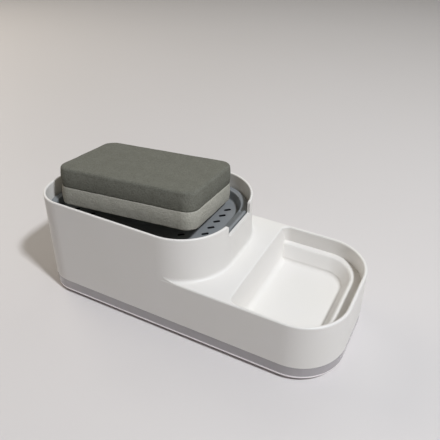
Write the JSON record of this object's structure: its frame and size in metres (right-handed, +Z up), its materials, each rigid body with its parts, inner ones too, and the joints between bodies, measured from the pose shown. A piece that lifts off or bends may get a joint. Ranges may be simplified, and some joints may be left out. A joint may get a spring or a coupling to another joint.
{
  "type": "press-plate soap dispenser caddy",
  "caption": "Soap dispenser caddy: pressing the sprung plate under the sponge pumps soap up from a clear reservoir; an open dish sits beside the tower.",
  "frame": {"origin": "on the counter, under the middle of the body", "axes": "+X along the body from the tower towards the open dish, +Y to the back, +Z up"},
  "size_m": [0.2396, 0.105, 0.1079],
  "materials": {
    "white_abs": "moulded ABS with a soft satin surface",
    "grey_abs": "moulded mid-grey ABS, satin",
    "clear_styrene": "polished clear moulding",
    "clear_silicone": "translucent silicone",
    "foot_rubber": "matt rubber",
    "natural_polypropylene": "uncoloured polypropylene",
    "tube_polyethylene": "translucent extruded tube",
    "piston_polyethylene": "soft polyethylene",
    "spring_steel": "drawn stainless steel",
    "pale_foam": "fine open-cell foam, light grey",
    "dark_foam": "coarser open-cell foam, dark grey"
  },
  "bodies": {
    "reservoir": {"reservoir_tray": "clear_styrene", "tray_seal": "clear_silicone", "foot_front_left": "foot_rubber", "foot_front_right": "foot_rubber", "foot_back_left": "foot_rubber", "foot_back_right": "foot_rubber"},
    "shell": {"tower_shell": "white_abs", "dish_shell": "white_abs", "well_floor": "white_abs", "pump_gasket": "clear_silicone", "pump_cylinder": "natural_polypropylene", "pump_guide_ring": "natural_polypropylene", "pump_collar_nut": "natural_polypropylene", "dip_tube": "tube_polyethylene", "pump_spring": "spring_steel"},
    "ball": {"check_ball": "spring_steel"},
    "plunger": {"pump_stem": "natural_polypropylene", "pump_piston": "piston_polyethylene", "piston_seat": "natural_polypropylene", "pump_head": "natural_polypropylene"},
    "plate": {"press_plate": "grey_abs", "outlet_valve": "clear_silicone"},
    "sponge": {"sponge_base_layer": "pale_foam", "sponge_top_layer": "dark_foam"}
  },
  "joints": [
    {"name": "shell_lift", "type": "slide", "parent": "reservoir", "child": "shell", "axis": [0, 0, 1], "range_m": [0, 0.08]},
    {"name": "plate_press", "type": "slide", "parent": "shell", "child": "plunger", "axis": [0, 0, -1], "range_m": [0, 0.01], "stiffness_N_per_m": 500, "springref_m": -0.01, "deforming": ["pump_spring"]},
    {"name": "ball_lift", "type": "slide", "parent": "shell", "child": "ball", "axis": [0, 0, 1], "range_m": [0, 0.001]},
    {"name": "plate_lift", "type": "slide", "parent": "plunger", "child": "plate", "axis": [0, 0, 1], "range_m": [0, 0.06]},
    {"name": "sponge_lift", "type": "slide", "parent": "plate", "child": "sponge", "axis": [0, 0, 1], "range_m": [0, 0.08]}
  ]
}
